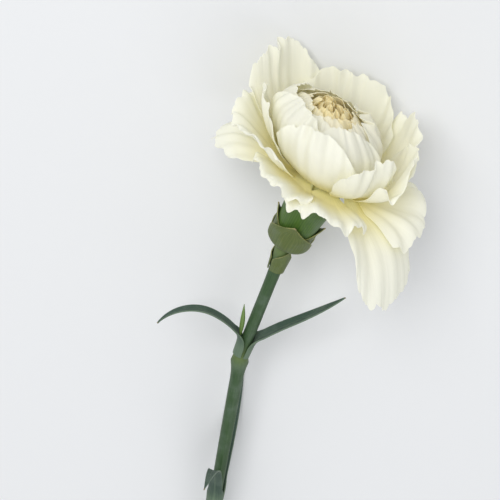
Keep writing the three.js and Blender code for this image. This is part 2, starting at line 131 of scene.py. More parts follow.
towards_head = Vector((math.sin(CAMERA_ROLL), math.cos(CAMERA_ROLL), 0))
level, rise = math.cos(CAMERA_HEIGHT_ANGLE), math.sin(CAMERA_HEIGHT_ANGLE)
camera_direction = towards_head * level + Vector((0, 0, rise))
camera_data = bpy.data.cameras.new("camera")
camera_data.sensor_width = SENSOR_WIDTH
camera_data.lens = SENSOR_WIDTH * CAMERA_DISTANCE / FIELD_WIDTH
camera = bpy.data.objects.new("camera", camera_data)
bpy.context.scene.collection.objects.link(camera)
look(camera, LOOK_AT + camera_direction * CAMERA_DISTANCE, LOOK_AT, towards_head)
bpy.context.scene.camera = camera
print("lens, mm:", round(camera_data.lens, 1))

# %% [markdown]
# ## Shader helpers
# A material here is written as sums. `Value` wraps one socket of the node tree, and its operators
# add Math nodes, so that `1 - mask` is itself a small network. Colours and vectors have their own
# Mix and Vector Math nodes, because a Math node would turn them grey.

# %% Shader helpers


class Value:
    """A number in a material's node tree, which can be used in sums."""

    def __init__(self, finish, socket):
        self.finish = finish
        self.socket = socket

    def _math(self, operation, *others):
        values = dict(enumerate((self, *others)))
        return self.finish.node("ShaderNodeMath", {"operation": operation}, values)

    def __add__(self, other):
        return self._math("ADD", other)

    __radd__ = __add__

    def __sub__(self, other):
        return self._math("SUBTRACT", other)

    def __rsub__(self, other):
        return self.finish.node("ShaderNodeMath", {"operation": "SUBTRACT"}, {0: other, 1: self})

    def __mul__(self, other):
        return self._math("MULTIPLY", other)

    __rmul__ = __mul__

    def size(self):
        """The same number without its sign."""
        return self._math("ABSOLUTE")

    def ramp(self, low, high):
        """0 below low, 1 above high, and a smooth rise between."""
        settings = {"interpolation_type": "SMOOTHSTEP"}
        return self.finish.node("ShaderNodeMapRange", settings, {0: self, 1: low, 2: high})


class Finish:
    """A material under construction: its nodes, and the few that every finish needs."""

    def __init__(self, name):
        self.material = bpy.data.materials.new(name)
        self.material.use_nodes = True
        self.tree = self.material.node_tree
        self.tree.nodes.clear()

    def node(self, kind, settings=None, inputs=None, output=0):
        """One node with its settings first, then the values or links of its sockets."""
        made = self.tree.nodes.new(kind)
        for key, value in (settings or {}).items():
            setattr(made, key, value)
        for key, value in (inputs or {}).items():
            if isinstance(value, Value):
                self.tree.links.new(value.socket, made.inputs[key])
            else:
                made.inputs[key].default_value = value
        return Value(self, made.outputs[output])

    def place(self):
        return self.node("ShaderNodeTexCoord", output="Object")

    def attribute(self, name):
        """A number that the piece carries at each of its points."""
        return self.node("ShaderNodeAttribute", {"attribute_name": name}, output="Fac")

    def sheet_directions(self):
        """How far across and how far along a sheet, from its UV map."""
        uv = self.node("ShaderNodeUVMap", {"uv_map": "UVMap"})
        return [self.node("ShaderNodeSeparateXYZ", inputs={0: uv}, output=k) for k in range(2)]

    def noise(self, where, scale, detail=3.0, roughness=0.5):
        inputs = {"Vector": where, "Scale": scale, "Detail": detail, "Roughness": roughness}
        return self.node("ShaderNodeTexNoise", inputs=inputs)

    def position(self, x, y):
        return self.node("ShaderNodeCombineXYZ", inputs={0: x, 1: y})

    def mix(self, share, one, other):
        """From one colour to another. The Mix node's colour sockets are numbers 6, 7 and, out, 2."""
        colours = {0: share, 6: self._colour(one), 7: self._colour(other)}
        return self.node("ShaderNodeMix", {"data_type": "RGBA"}, colours, output=2)

    def bump(self, height, distance, strength):
        inputs = {"Strength": strength, "Distance": distance, "Height": height}
        return self.node("ShaderNodeBump", inputs=inputs)

    def surface(self, shader):
        out = self.tree.nodes.new("ShaderNodeOutputMaterial")
        self.tree.links.new(shader.socket, out.inputs["Surface"])
        return self.material

    @staticmethod
    def _colour(value):
        return value if isinstance(value, Value) else (*value, 1.0)


# %% [markdown]
# ## Making and shaping a sheet
# Petals, bracts and leaves are all thin sheets. Each starts as a grid from the Add menu. A grid
# knows how far across and along every point is, which is also its UV map, so one formula can place
# the points and the material can follow the same two numbers. A Solidify modifier then gives the
# sheet its thickness and closes its edge.

# %% Sheets and tubes


def select_only(obj):
    for other in bpy.context.selected_objects:
        other.select_set(False)
    obj.select_set(True)
    bpy.context.view_layer.objects.active = obj


def apply_modifier(obj, kind, **settings):
    """Adds a modifier, sets it up and applies it to the mesh."""
    select_only(obj)
    modifier = obj.modifiers.new(kind.lower(), kind)
    for key, value in settings.items():
        setattr(modifier, key, value)
    bpy.ops.object.modifier_apply(modifier=modifier.name)


def read_points(obj):
    points = np.empty(len(obj.data.vertices) * 3)
    obj.data.vertices.foreach_get("co", points)
    return points.reshape(-1, 3)


def write_points(obj, points):
    obj.data.vertices.foreach_set("co", np.asarray(points, float).ravel())
    obj.data.update()


def carry(obj, name, values):
    """Stores a number at each point, for the piece's material."""
    attribute = obj.data.attributes.new(name, "FLOAT", "POINT")
    full = np.broadcast_to(values, len(obj.data.vertices))
    attribute.data.foreach_set("value", full.astype(np.float32))


def add_sheet(name, across, along):
    """A grid, with how far across (-1 to 1) and how far along (0 to 1) each of its points is."""
    bpy.ops.object.select_all(action="DESELECT")
    bpy.ops.mesh.primitive_grid_add(x_subdivisions=across, y_subdivisions=along, size=2)
    obj = bpy.context.active_object
    obj.name = obj.data.name = name
    points = read_points(obj)
    return obj, points[:, 0], (points[:, 1] + 1) / 2


def add_tube(name, sides, cuts):
    """An open upright tube, with each point's angle and how far along (0 to 1) it is."""
    bpy.ops.object.select_all(action="DESELECT")
    bpy.ops.mesh.primitive_cylinder_add(vertices=sides, radius=1, depth=2, end_fill_type="NOTHING")
    obj = bpy.context.active_object
    obj.name = obj.data.name = name
    bpy.ops.object.mode_set(mode="EDIT")
    shape = bmesh.from_edit_mesh(obj.data)
    for edge in shape.edges:
        edge.select_set(abs(edge.verts[0].co.z - edge.verts[1].co.z) > 1)
    bmesh.update_edit_mesh(obj.data)
    bpy.ops.mesh.subdivide(number_cuts=cuts)
    bpy.ops.object.mode_set(mode="OBJECT")
    points = read_points(obj)
    return obj, np.arctan2(points[:, 1], points[:, 0]), (points[:, 2] + 1) / 2


def face_outwards(obj):
    select_only(obj)
    bpy.ops.object.mode_set(mode="EDIT")
    bpy.ops.mesh.select_all(action="SELECT")
    bpy.ops.mesh.normals_make_consistent(inside=False)
    bpy.ops.object.mode_set(mode="OBJECT")


def smooth(obj, degrees=60):
    select_only(obj)
    bpy.ops.object.shade_smooth_by_angle(angle=math.radians(degrees))


def stand_in(obj, node, material):
    """Hands a finished piece over: its finish, and the CAD node that it stands for."""
    obj.data.materials.clear()
    obj.data.materials.append(material)
    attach(obj, "root")
    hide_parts(node)


def smoothstep(x, low, high):
    x = np.clip((x - low) / (high - low), 0, 1)
    return x * x * (3 - 2 * x)


def lerp(a, b, share):
    return a + (b - a) * share


def scatter(number, salt):
    """A repeatable number from -1 to 1 for a numbered piece, by the usual sine trick."""
    x = np.sin(number * 12.9898 + salt * 78.233) * 43758.5453
    return 2 * (x - np.floor(x)) - 1


def curve_through(stations, share):
    """A smooth curve through evenly shared stations, at a share from 0 (first) to 1 (last)."""
    count = stations.shape[-2]
    place = np.clip(share, 0, 1) * (count - 1)
    first = np.clip(np.floor(place).astype(int), 0, count - 2)
    t = (place - first)[..., None]

    def at(k):
        index = np.clip(k, 0, count - 1)[..., None, None]
        wanted = np.broadcast_to(index, (*index.shape[:-2], 1, stations.shape[-1]))
        full = np.broadcast_to(stations, (*share.shape, *stations.shape[-2:]))
        return np.take_along_axis(full, wanted, axis=-2)[..., 0, :]

    before, here = at(first - 1), at(first)
    there, after = at(first + 1), at(first + 2)
    leave, arrive = (there - before) / 2, (after - here) / 2
    return (
        (2 * here - 2 * there + leave + arrive) * t**3
        + (3 * there - 3 * here - 2 * leave - arrive) * t**2
        + leave * t
        + here
    )


# %% [markdown]
# ## Petals: nested shells
# A full carnation holds forty petals or more, and no two may cut through each other. Modelling them
# one by one and pushing them apart would take days. Instead every petal lies on its own shell round
# the flower's axis: a profile of radius and height that changes smoothly from the closed heart
# (openness 0), through the incurved ball and the upright cup, to the reflexed guard petals
# (openness 1).
# A ruffle is a small change of openness that all petals share at that direction, so they ripple
# together and drift apart only slowly from one petal to the next. That keeps nearly all of them
# from cutting through each other.

# %% The shells, as in the CAD model
PETALS = 42
GOLDEN_ANGLE = math.pi * (3 - math.sqrt(5))
OUTERMOST_AT = math.radians(25)
CLAW_HALF_ANGLE = math.radians(14)
MOUTH_HALF_ANGLE = math.radians(15.5)
WIDEST_HALF_ANGLE = math.radians(65)
CLAW_SHARE = 0.2
CLAW_SPACING = 0.87
CLAW_FOOT = -23.2 * MM
INNERMOST_CLAW = np.array((2.4, 1.7)) * MM
OUTERMOST_CLAW = np.array((6.0, 8.8)) * MM
MOUTH_RISE = 1.2 * MM
SHELL_OPEN = np.array((0, 0.5, 0.75, 1))
SHELL_WIDTH = np.array((10, 38, 43, 44)) * MM
SHELL_AT = MM * np.array(
    [
        [(2.6, 7), (3.2, 15), (3.2, 24), (1.5, 33)],
        [(13, 6.5), (19.5, 13.5), (20, 24), (10, 31)],
        [(18, 5.5), (28, 13), (34, 23.5), (37, 35)],
        [(18.5, 1.5), (29, -0.5), (38.5, -4.5), (46, -11)],
    ]
)
# From the outermost in: how open, degrees turned aside from the spiral, width and length shares.
OUTER_PETALS = (
    (0.99, 3, 1.0, 1.0),
    (0.775, 2, 1.0, 0.92),
    (0.94, 0, 1.0, 0.95),
    (0.876, 8, 0.85, 0.8),
    (0.965, -10, 1.0, 0.93),
    (0.898, 6, 0.95, 0.97),
    (0.838, -2, 0.7, 0.8),
    (0.8, -5, 1.0, 0.93),
    (0.65, 4, 0.75, 0.93),
    (0.622, -9, 0.7, 0.9),
    (0.757, 11, 0.95, 1.0),
    (0.594, 4, 1.0, 0.95),
    (0.735, -7, 0.9, 1.0),
    (0.71, 0, 0.85, 0.95),
    (0.555, -8, 1.0, 1.0),
    (0.69, -3, 1.0, 0.97),
)
INNER_OPENING = 0.53
BALL_RANGE = (0.1, 0.5)
LOOSE_RANGE = (0.5, 0.78)
WIDTH_VARIES = 0.07
LENGTH_VARIES = 0.05


def ball_share(openness):
    """0 in the heart, and 1 from the ball's outer petals outwards."""
    return smoothstep(openness, *BALL_RANGE)


def loose_share(openness):
    """0 up to the closed ball, and 1 for the petals that stand free of it."""
    return smoothstep(openness, *LOOSE_RANGE)


def petal_numbers(i):
    """A petal's openness, the turn of its blade, and its shares of width and length."""
    from_outside = PETALS - 1 - i
    if from_outside < len(OUTER_PETALS):
        openness, turn, width, length = OUTER_PETALS[from_outside]
        return openness, math.radians(turn), width, length
    openness = INNER_OPENING * i / (PETALS - len(OUTER_PETALS) - 1)
    return openness, 0, 1 + WIDTH_VARIES * scatter(i, 2), 1 - LENGTH_VARIES * abs(scatter(i, 1))


def shell_point(openness, share):
    """Radius, height and petal width on one shell, at a share from the petal's foot to its edge."""
    openness, share = np.broadcast_arrays(np.asarray(openness, float), np.asarray(share, float))
    n = np.clip(np.searchsorted(SHELL_OPEN, openness) - 1, 0, len(SHELL_OPEN) - 2)
    mix = (openness - SHELL_OPEN[n]) / (SHELL_OPEN[n + 1] - SHELL_OPEN[n])
    out = np.maximum(openness, 0) ** CLAW_SPACING
    stations = np.empty((*openness.shape, 6, 2))
    stations[..., 0, 0] = lerp(INNERMOST_CLAW[0], OUTERMOST_CLAW[0], out)
    stations[..., 0, 1] = CLAW_FOOT
    stations[..., 1, 0] = lerp(INNERMOST_CLAW[1], OUTERMOST_CLAW[1], out)
    stations[..., 1, 1] = MOUTH_RISE * out
    stations[..., 2:, :] = lerp(SHELL_AT[n], SHELL_AT[n + 1], mix[..., None, None])
    point = curve_through(stations, share)
    return point[..., 0], point[..., 1], lerp(SHELL_WIDTH[n], SHELL_WIDTH[n + 1], mix)


print("petals:", PETALS, " openness", petal_numbers(0)[0], "to", petal_numbers(PETALS - 1)[0])

# %% [markdown]
# ## Petals: waves and ruffles
# The slow waves are the CAD model's own. Finer ones are added that the CAD solids are too coarse to
# hold: creases that fan out along the blade, ruffles that grow towards the edge, and crumples in the
# heart. Their height is given in millimetres and turned into a change of openness by how far apart
# the shells are there.

# %% Waves and ruffles
SWAYS = ((3, 0.028, 7), (5, 0.024, -9))  # count, depth, turn
FOLDS = (5, 0.014, 6)
PRESSED = 0.03
BALL_SHUT = 0.06
FLARE = 0.03
CREASES_ON_BALL = 0.3
RUFFLES_ON_BALL = 0.35
LEAST_GAP = 15 * MM


def wave_bank(seed, counts, height, turn):
    """Waves round the flower with seeded sizes and starts: count, height, turn and start of each."""
    rng = np.random.default_rng(seed)
    bank = []
    for count in counts:
        own_height = height * rng.uniform(0.5, 1.0)
        bank.append((count, own_height, rng.uniform(-turn, turn), rng.uniform(0, 2 * math.pi)))
    return bank


CREASES = wave_bank(1, (7, 9, 11, 14, 17), 0.65 * MM, 22)
RUFFLES = wave_bank(2, (13, 16, 19, 23, 29, 37), 0.85 * MM, 40)
HEART_FOLDS = wave_bank(3, (6, 8, 9, 11, 14), 0.6 * MM, 16)


def wave(angle, openness, count, depth, turn, start=0.0):
    return depth * np.sin(count * angle + turn * openness + start)


def waves(bank, angle, openness):
    return sum(wave(angle, openness, *each) for each in bank)


def shell_gap(openness, share):
    """How many metres the shells are apart for each unit of openness."""
    step = 0.01
    r0, h0, _ = shell_point(openness - step, share)
    r1, h1, _ = shell_point(openness + step, share)
    return np.hypot(r1 - r0, h1 - h0) / (2 * step)


def opening(openness, angle, blade, share):
    """The change of openness in one direction: slow waves, then creases and ruffles."""
    loose = loose_share(openness)
    ball = ball_share(openness)
    rise = smoothstep(blade, 0.05, 1)
    tight = wave(angle, openness, *FOLDS) - BALL_SHUT * np.sin(angle) * ball
    slow = rise * (lerp(tight, waves(SWAYS, angle, openness), loose) + PRESSED * np.sin(angle))
    creases = waves(CREASES, angle, openness) * smoothstep(blade, 0.1, 0.8)
    ruffles = waves(RUFFLES, angle, openness) * np.clip(blade, 0, 1) ** 3
    heart = waves(HEART_FOLDS, angle, openness) * smoothstep(blade, 0.3, 1)
    on_ball = lerp(CREASES_ON_BALL, 1, loose), lerp(RUFFLES_ON_BALL, 1, loose)
    fine = lerp(heart, creases * on_ball[0] + ruffles * on_ball[1], ball)
    return slow + fine / np.maximum(shell_gap(openness, share), LEAST_GAP) + FLARE * loose * blade**5


# %% [markdown]
# ## Petals: toothed edges
# A carnation's petal ends in uneven teeth, with a deeper notch here and there. The mesh is not cut:
# each column of the grid is pulled back along its own shell by as much as the edge is missing there,
# so the teeth stay on the petal's surface and the grid stays whole.

# %% Teeth
PETAL_LENGTH = 58 * MM
TOOTH_WIDTH = 2.4 * MM
FEWEST_TEETH = 5
DEEPEST_TOOTH = 1.3
NOTCHES = 3
NOTCH_WIDTH = 0.05
SLOW_CURVES = 3


def teeth(i, across, width, depth_share):
    """How far the edge is cut back at each place across a petal, in metres."""
    rng = np.random.default_rng(1000 + i)
    count = max(FEWEST_TEETH, int(width / TOOTH_WIDTH))
    posts = np.cumsum(rng.uniform(0.3, 1.7, count + 1))
    posts = (posts - posts[0]) / (posts[-1] - posts[0]) * 2 - 1
    depth = rng.uniform(0.1, 1.0, count) ** 1.5 * DEEPEST_TOOTH
    slot = np.clip(np.searchsorted(posts, across) - 1, 0, count - 1)
    inside = (across - posts[slot]) / (posts[slot + 1] - posts[slot])
    cut = depth[slot] * np.abs(2 * inside - 1) ** 1.4
    notch = 0
    for _ in range(NOTCHES):
        deep = rng.uniform(0.5, 2.0)
        notch = notch + deep * np.exp(-(((across - rng.uniform(-0.8, 0.8)) / NOTCH_WIDTH) ** 2))
    wander = 0
    for k in range(1, SLOW_CURVES + 1):
        high = rng.uniform(-0.9, 0.9)
        wander = wander + high * np.sin(k * 1.7 * across + rng.uniform(0, 6))
    return (depth_share * (0.9 * cut + notch) + 0.8 * wander + 0.8) * MM


# %% [markdown]
# ## Petals: placing the points
# A petal's point is known by how far across and along it lies. Its angle round the axis comes from
# the first and its share of the shell from the second. The head leans a little, as a heavy flower
# does, and whatever would go through the surface is bent to lie along it.

# %% Petal points
FAN_TURNS_BY = 0.4
FAN_START = 0.6
FAN_RANGE = (0.1, 0.85)
SPREAD_RANGE = (0.05, 0.42)
CORNER_IN_HEART = 0.28
CORNER_OUTSIDE = 0.18
CORNER_POWER = 2.4
TEETH_IN_HEART = 0.4
PETAL_LEAN = math.tan(math.radians(20))
LEAN_START = 4 * MM
SURFACE_GIVE = 1.2 * MM
STACKING = 0.3 * MM


def rest_on_surface(points, floor):
    """Bends what would go lower than a floor so that it lies along it."""
    above = (points[..., 2] - floor) / SURFACE_GIVE
    points[..., 2] = floor + SURFACE_GIVE * np.logaddexp(0, above)
    return points


def petal_points(i, across, along):
    """Where a petal's points are, for how far across and along it they lie."""
    openness, turn, broad, long = petal_numbers(i)
    from_outside = PETALS - 1 - i
    loose = loose_share(openness)
    blade = np.clip((along - CLAW_SHARE) / (1 - CLAW_SHARE), 0, 1)

    rounding = lerp(CORNER_IN_HEART, CORNER_OUTSIDE, loose) * np.abs(across) ** CORNER_POWER
    share = along - blade**2 * (1 - long + rounding)
    own_radius, _, own_width = shell_point(openness, share)
    cut_back = teeth(i, across, own_width.max(), lerp(TEETH_IN_HEART, 1, loose))
    share = share - blade**6 * cut_back / PETAL_LENGTH

    middle = OUTERMOST_AT + from_outside * GOLDEN_ANGLE + turn * smoothstep(blade, 0, FAN_TURNS_BY)
    claw = lerp(CLAW_HALF_ANGLE, MOUTH_HALF_ANGLE, np.clip(along / CLAW_SHARE, 0, 1))
    fan = own_width / 2 * broad * lerp(FAN_START, 1, smoothstep(blade, *FAN_RANGE))
    spread = np.minimum(fan / np.maximum(own_radius, MM), WIDEST_HALF_ANGLE)
    angle = middle + across * lerp(claw, spread, smoothstep(blade, *SPREAD_RANGE))

    here = openness + opening(openness, angle, blade, share)
    radius, height, _ = shell_point(here, share)
    points = head.place(radius, angle, height)
    above = np.maximum(height, 0)
    points -= (PETAL_LEAN * above**2 / (above + LEAN_START))[..., None] * head.right
    return rest_on_surface(points, from_outside * STACKING)


# %% [markdown]
# ## Petal finish
# A cream-white petal is soft and thin. Light goes into it, so the depths of the flower glow a warm
# yellow while the edges stay nearly white. The base colour runs from greenish yellow at the claw to
# cream at the edge; that yellow is partly the petal's own base colour and partly the glow of the
# depths painted in, and so is the heart's gold. Part of the light goes straight through: a Mix Shader
# gives that share to a Translucent shader, which is right for a sheet and far quicker than scattering
# inside a solid.
# Fine veins fan out along the blade, in the UV map's own directions, as colour and as bump.

# %% Petal finish
# The claw and blade-foot yellows are partly the petal's own yellow base and partly painted glow of
# light scattered in the flower's depths.
CLAW_YELLOW_AND_GLOW = (0.88, 0.86, 0.36)
BLADE_FOOT_YELLOW_AND_GLOW = (0.975, 0.92, 0.53)
CREAM = (0.965, 0.95, 0.83)
HEART_GOLD_AND_GLOW = (0.98, 0.82, 0.36)
EDGE_WHITE = (0.962, 0.968, 0.935)
VEIN_CREAM = (0.94, 0.91, 0.76)
MOTTLE_GREY = (0.93, 0.925, 0.86)
LIGHT_THROUGH = (0.99, 0.97, 0.80, 1)
THROUGH_SHARE = 0.34


def petal_finish():
    finish = Finish("petal")
    across, along = finish.sheet_directions()
    heart = finish.attribute("heart")
    petal_number = finish.attribute("petal_number")

    veins = finish.noise(finish.position(across * 46 + petal_number, along * 2.2), 1.0, 3.0, 0.55)
    fans = finish.noise(finish.position(across * 15 + petal_number, along * 1.3), 1.0, 2.0)
    mottle = finish.noise(finish.place(), 130.0, 3.0)

    edge = along.ramp(0.45, 1.0)
    # Painted glow, partly real: the deep yellow towards the claw is the petal's own base colour plus
    # painted glow of the flower's depths.
    deep = finish.mix(along.ramp(0.12, 0.45), CLAW_YELLOW_AND_GLOW, BLADE_FOOT_YELLOW_AND_GLOW)
    body = finish.mix(along.ramp(0.3, 0.75), deep, CREAM)
    # Painted glow, partly real: the heart's gold is the inner petals' own yellow plus painted glow of
    # the flower's depths.
    warm = finish.mix(heart * (1 - edge * 0.35), body, HEART_GOLD_AND_GLOW)
    pale = finish.mix(edge * (1 - heart) * 0.75, warm, EDGE_WHITE)
    veined = finish.mix((veins - 0.5).size() * 0.35, pale, VEIN_CREAM)
    colour = finish.mix((mottle - 0.42) * 0.3, veined, MOTTLE_GREY)

    relief = veins * 0.6 + fans * 0.9 + mottle * 0.15
    normal = finish.bump(relief, 0.25 * MM, 0.55)
    skin = finish.node(
        "ShaderNodeBsdfPrincipled",
        inputs={
            "Base Color": colour,
            "Roughness": veins * 0.12 + 0.5,
            "Specular IOR Level": 0.28,
            "Sheen Weight": 0.12,
            "Sheen Roughness": 0.4,
            "Normal": normal,
        },
    )
    glow = finish.node("ShaderNodeBsdfTranslucent", inputs={"Color": LIGHT_THROUGH, "Normal": normal})
    mixed = finish.node("ShaderNodeMixShader", inputs={0: THROUGH_SHARE, 1: skin, 2: glow})
    return finish.surface(mixed)


petal_material = petal_finish()

# %% [markdown]
# ## Cutting the petals
# One loop makes them all, from the heart outwards. The heart's petals are small and need fewer
# points. The thickness is put on last. The "heart" number, from 1 in the middle to 0 outside, turns
# the finish golden, a gold that is partly the inner petals' own yellow and partly painted glow, and
# "petal_number" gives each petal veins of its own.

# %% All petals
PETAL_THICKNESS = 0.2 * MM
POINTS_ACROSS = 100
POINTS_ALONG = 72
HEART_GRID_SHARE = 0.45
QUICK_GRID_SHARE = 1
GOLD_RANGE = (0.16, 0.6)
HEART_ENDS_AT = 0.4
VEIN_OFFSET = 7.3


def make_petal(i):
    openness = petal_numbers(i)[0]
    size = lerp(HEART_GRID_SHARE, 1, min(openness / BALL_RANGE[1], 1)) * QUICK_GRID_SHARE
    name = f"petal_{i + 1:02d}"
    obj, across, along = add_sheet(f"{name}_fine", int(POINTS_ACROSS * size), int(POINTS_ALONG * size))
    write_points(obj, petal_points(i, across, along))
    # The heart number sets how much golden colour, partly painted glow, this petal gets.
    carry(obj, "heart", 1 - smoothstep(openness, *GOLD_RANGE))
    carry(obj, "petal_number", VEIN_OFFSET * i)
    apply_modifier(obj, "SOLIDIFY", thickness=PETAL_THICKNESS, offset=0)
    smooth(obj)
    slot = "petal_heart" if openness < HEART_ENDS_AT else "petal_cream"
    stand_in(obj, name, petal_material)
    return obj


petals = [make_petal(i) for i in range(PETALS)]
print("petal triangles:", sum(2 * len(p.data.polygons) for p in petals))

# %% [markdown]
# ## The stem's line
# Everything green is placed from the stem. It is a chain of straight stretches with a slight bend at
# each joint, worked out backwards from the calyx, along the flower's own axis, to the cut end.

# %% The stem's joints
CALYX_LENGTH = 28 * MM
INTERNODES = ((60, -6, 4), (74, -3, 4.5), (72, 1, 5), (54, 11, 7.5))  # mm, heading, climb


def heading(degrees_right, degrees_up):
    right, up = math.radians(degrees_right), math.radians(degrees_up)
    level = math.cos(up)
    return np.array((math.sin(right) * level, math.cos(right) * level, math.sin(up)))


directions = [heading(right, climb) for _, right, climb in INTERNODES]
joints = [head.origin - head.ahead * CALYX_LENGTH]
for (length, _, _), direction in zip(reversed(INTERNODES), reversed(directions)):
    joints.insert(0, joints[0] - direction * length * MM)
CUT_END, CALYX_FOOT = joints[0], joints[-1]
LEAF_JOINTS = joints[1:-1]
print("cut end, mm:", (CUT_END / MM).round(1), " CAD stem:", in_mm(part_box("stem")))

# %% [markdown]
# ## Green finishes
# Carnation green is a dark, waxy green under a thin grey bloom that rubs off in patches. The same
# recipe serves stem, calyx, bracts and leaves, with its own two greens each: fine streaks that run
# lengthwise, a cloudy bloom, and a paler tone wherever the piece's own "pale" number says so, such
# as veins, edges and swollen joints. A "dry" number does the same for withered brown tips.

# %% Green finishes
BLOOM_GREY = (0.17, 0.22, 0.18)
DRY_BROWN = (0.45, 0.36, 0.2)


def green_finish(name, dark, light, pale, grain, roughness):
    """grain is a pair of scales: streaks across the piece, and along it."""
    finish = Finish(name)
    across = finish.attribute("across")
    along = finish.attribute("along")
    streaks = finish.noise(finish.position(across * grain[0], along * grain[1]), 1.0, 4.0, 0.6)
    cloud = finish.noise(finish.place(), 90.0, 4.0, 0.6)
    speckle = finish.noise(finish.place(), 900.0, 2.0)
    body = finish.mix(streaks.ramp(0.3, 0.75), dark, light)
    bloom = finish.mix(cloud.ramp(0.42, 0.72) * 0.35, body, BLOOM_GREY)
    marked = finish.mix(finish.attribute("pale"), bloom, pale)
    colour = finish.mix(finish.attribute("dry"), marked, DRY_BROWN)
    relief = streaks * 0.7 + speckle * 0.25
    skin = finish.node(
        "ShaderNodeBsdfPrincipled",
        inputs={
            "Base Color": colour,
            "Roughness": cloud * 0.25 + (roughness - 0.12),
            "Specular IOR Level": 0.4,
            "Normal": finish.bump(relief, 0.12 * MM, 0.5),
        },
    )
    return finish.surface(skin)


# Each one's dark, light and pale green, the grain of its streaks, and its roughness.
GREENS = {
    "stem": ((0.026, 0.062, 0.022), (0.052, 0.105, 0.035), (0.17, 0.23, 0.055), (16, 6), 0.5),
    "calyx": ((0.042, 0.10, 0.012), (0.075, 0.15, 0.022), (0.15, 0.24, 0.06), (18, 3), 0.45),
    "bract": ((0.07, 0.10, 0.022), (0.11, 0.145, 0.035), (0.25, 0.26, 0.09), (14, 2), 0.5),
    "leaf": ((0.022, 0.052, 0.036), (0.042, 0.085, 0.055), (0.13, 0.19, 0.12), (22, 3), 0.55),
}
green = {name: green_finish(name, *numbers) for name, numbers in GREENS.items()}
print("green finishes:", ", ".join(green))

# %% [markdown]
# ## Stem
# The stem is one piece: a slim tube that swells at each leaf joint and thickens into the neck that
# carries the flower. An open tube from the Add menu is bent to the line, and its radius follows a few
# stations round each joint. Two helpers come first: one finds points on a line and round it, and one
# closes a tube's ends with rings, so that the flat cut has enough faces to shade well.

# %% Points along and round a line


def along_line(line, share):
    """The points and directions at shares of the length of a line of points."""
    steps = np.linalg.norm(np.diff(line, axis=0), axis=1)
    reach = np.concatenate([[0], np.cumsum(steps)]) / steps.sum()
    slope = np.gradient(line, reach, axis=0)
    point = np.stack([np.interp(share, reach, line[:, k]) for k in range(3)], axis=-1)
    ahead = np.stack([np.interp(share, reach, slope[:, k]) for k in range(3)], axis=-1)
    return point, ahead / np.linalg.norm(ahead, axis=-1, keepdims=True)


def around(point, ahead, radius, angle):
    """Points at a radius and an angle round a line's own points."""
    right = np.cross(ahead, (0, 0, 1))
    right /= np.linalg.norm(right, axis=-1, keepdims=True)
    up = np.cross(right, ahead)
    aside, above = radius * np.cos(angle), radius * np.sin(angle)
    return point + aside[..., None] * right + above[..., None] * up


def softened(line, passes):
    """The same line with its bends eased, and its ends kept."""
    for _ in range(passes):
        line[1:-1] = (line[:-2] + 2 * line[1:-1] + line[2:]) / 4
    return line


def select_caps():
    """Selects the faces with more than four sides, which are a tube's end caps."""
    bpy.ops.mesh.select_all(action="DESELECT")
    bpy.ops.mesh.select_face_by_sides(number=4, type="GREATER")


def close_ends(obj, rings, inset, dip):
    """Caps every open end with a few rings, each set in and a little lower than the last."""
    select_only(obj)
    bpy.ops.object.mode_set(mode="EDIT")
    bpy.ops.mesh.select_all(action="SELECT")
    bpy.ops.mesh.fill_holes(sides=0)
    for _ in range(rings):
        select_caps()
        bpy.ops.mesh.inset(thickness=inset, depth=-dip, use_individual=True)
    select_caps()
    bpy.ops.mesh.poke()
    bpy.ops.object.mode_set(mode="OBJECT")
    face_outwards(obj)


# %% Stem
STEM_RADIUS = 2.5 * MM
NODE_RADIUS = 3.7 * MM
NECK_RADIUS = 3.5 * MM
THIN_RADIUS = 0.94 * STEM_RADIUS
STEM_REACH = 3.1 * MM
SURFACE = CUT_END[2] - STEM_RADIUS
# Distance from the joint in mm, and radius.
ROUND_A_LEAF_JOINT = (
    (-30, STEM_RADIUS),
    (-9, STEM_RADIUS * 1.01),
    (-5, lerp(STEM_RADIUS, NODE_RADIUS, 0.4)),
    (-2.6, NODE_RADIUS * 0.97),
    (-1.2, NODE_RADIUS),
    (-0.3, NODE_RADIUS * 0.8),
    (0.3, THIN_RADIUS),
    (9, THIN_RADIUS),
)
ROUND_THE_CALYX_FOOT = (
    (-20, THIN_RADIUS),
    (-13, STEM_RADIUS),
    (-7, lerp(STEM_RADIUS, NECK_RADIUS, 0.6)),
    (-3, NECK_RADIUS),
    (0, NECK_RADIUS * 0.97),
    (STEM_REACH / MM, NECK_RADIUS * 0.85),
)
LINE_POINTS = 530
BEND_EASING = 12
SWELLING_EASING = 3


